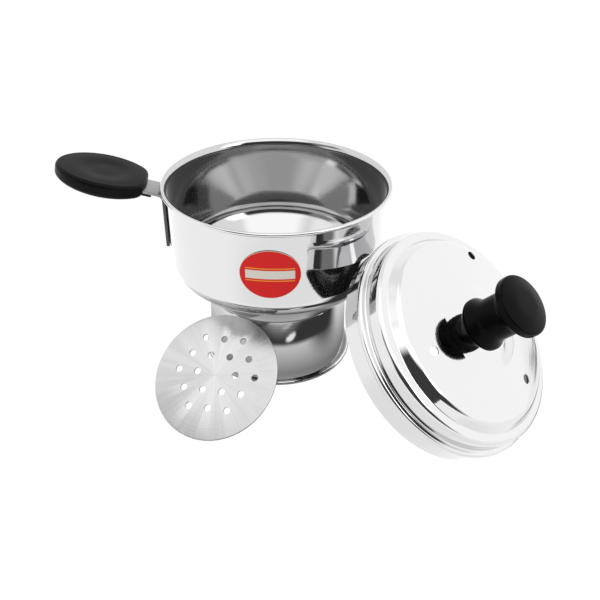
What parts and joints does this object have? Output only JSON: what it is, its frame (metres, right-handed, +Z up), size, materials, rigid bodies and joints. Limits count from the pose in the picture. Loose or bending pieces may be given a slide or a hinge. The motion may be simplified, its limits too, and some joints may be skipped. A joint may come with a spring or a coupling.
{
  "type": "puttu maker",
  "caption": "Steel steamer pan on a round foot with a black side handle, its lid with a black knob and its round perforated plate leaning beside it",
  "frame": {"origin": "on the ground, under the middle of the box round the whole set", "axes": "+Z up; +X from the handle's end towards the lid, the longest way across the set; +Y away from the viewer"},
  "size_m": [0.2716, 0.1902, 0.1235],
  "materials": {
    "polished_steel": "mirror polished stainless steel",
    "foot_steel": "mirror polished stainless steel",
    "strap_steel": "bright stainless strip, lightly brushed",
    "lid_steel": "mirror polished stainless steel",
    "plate_steel": "satin sheet steel with fine radial marks",
    "screw_steel": "zinc plated",
    "nut_steel": "yellow zinc plated",
    "washer_steel": "zinc plated",
    "black_bakelite": "satin moulded phenolic",
    "black_knob": "semi-gloss moulded phenolic",
    "brass_insert": "turned",
    "sticker": "glossy printed paper"
  },
  "bodies": {
    "pan": {"bowl": "polished_steel", "foot_ring": "foot_steel", "handle_bracket": "strap_steel", "handle_grip": "black_bakelite", "handle_screw": "screw_steel", "handle_nut": "nut_steel", "label": "sticker"},
    "lid": {"lid_shell": "lid_steel", "knob": "black_knob", "knob_insert": "brass_insert", "knob_screw": "screw_steel", "knob_washer": "washer_steel"},
    "plate": {"steam_disc": "plate_steel"}
  },
  "joints": [
    {"name": "lid_lift", "type": "slide", "parent": "pan", "child": "lid", "axis": [0.558, -0.3965, 0.729], "range_m": [0, 0.12]},
    {"name": "plate_lift", "type": "slide", "parent": "pan", "child": "plate", "axis": [-0.4039, -0.7661, 0.5], "range_m": [0, 0.1]}
  ]
}
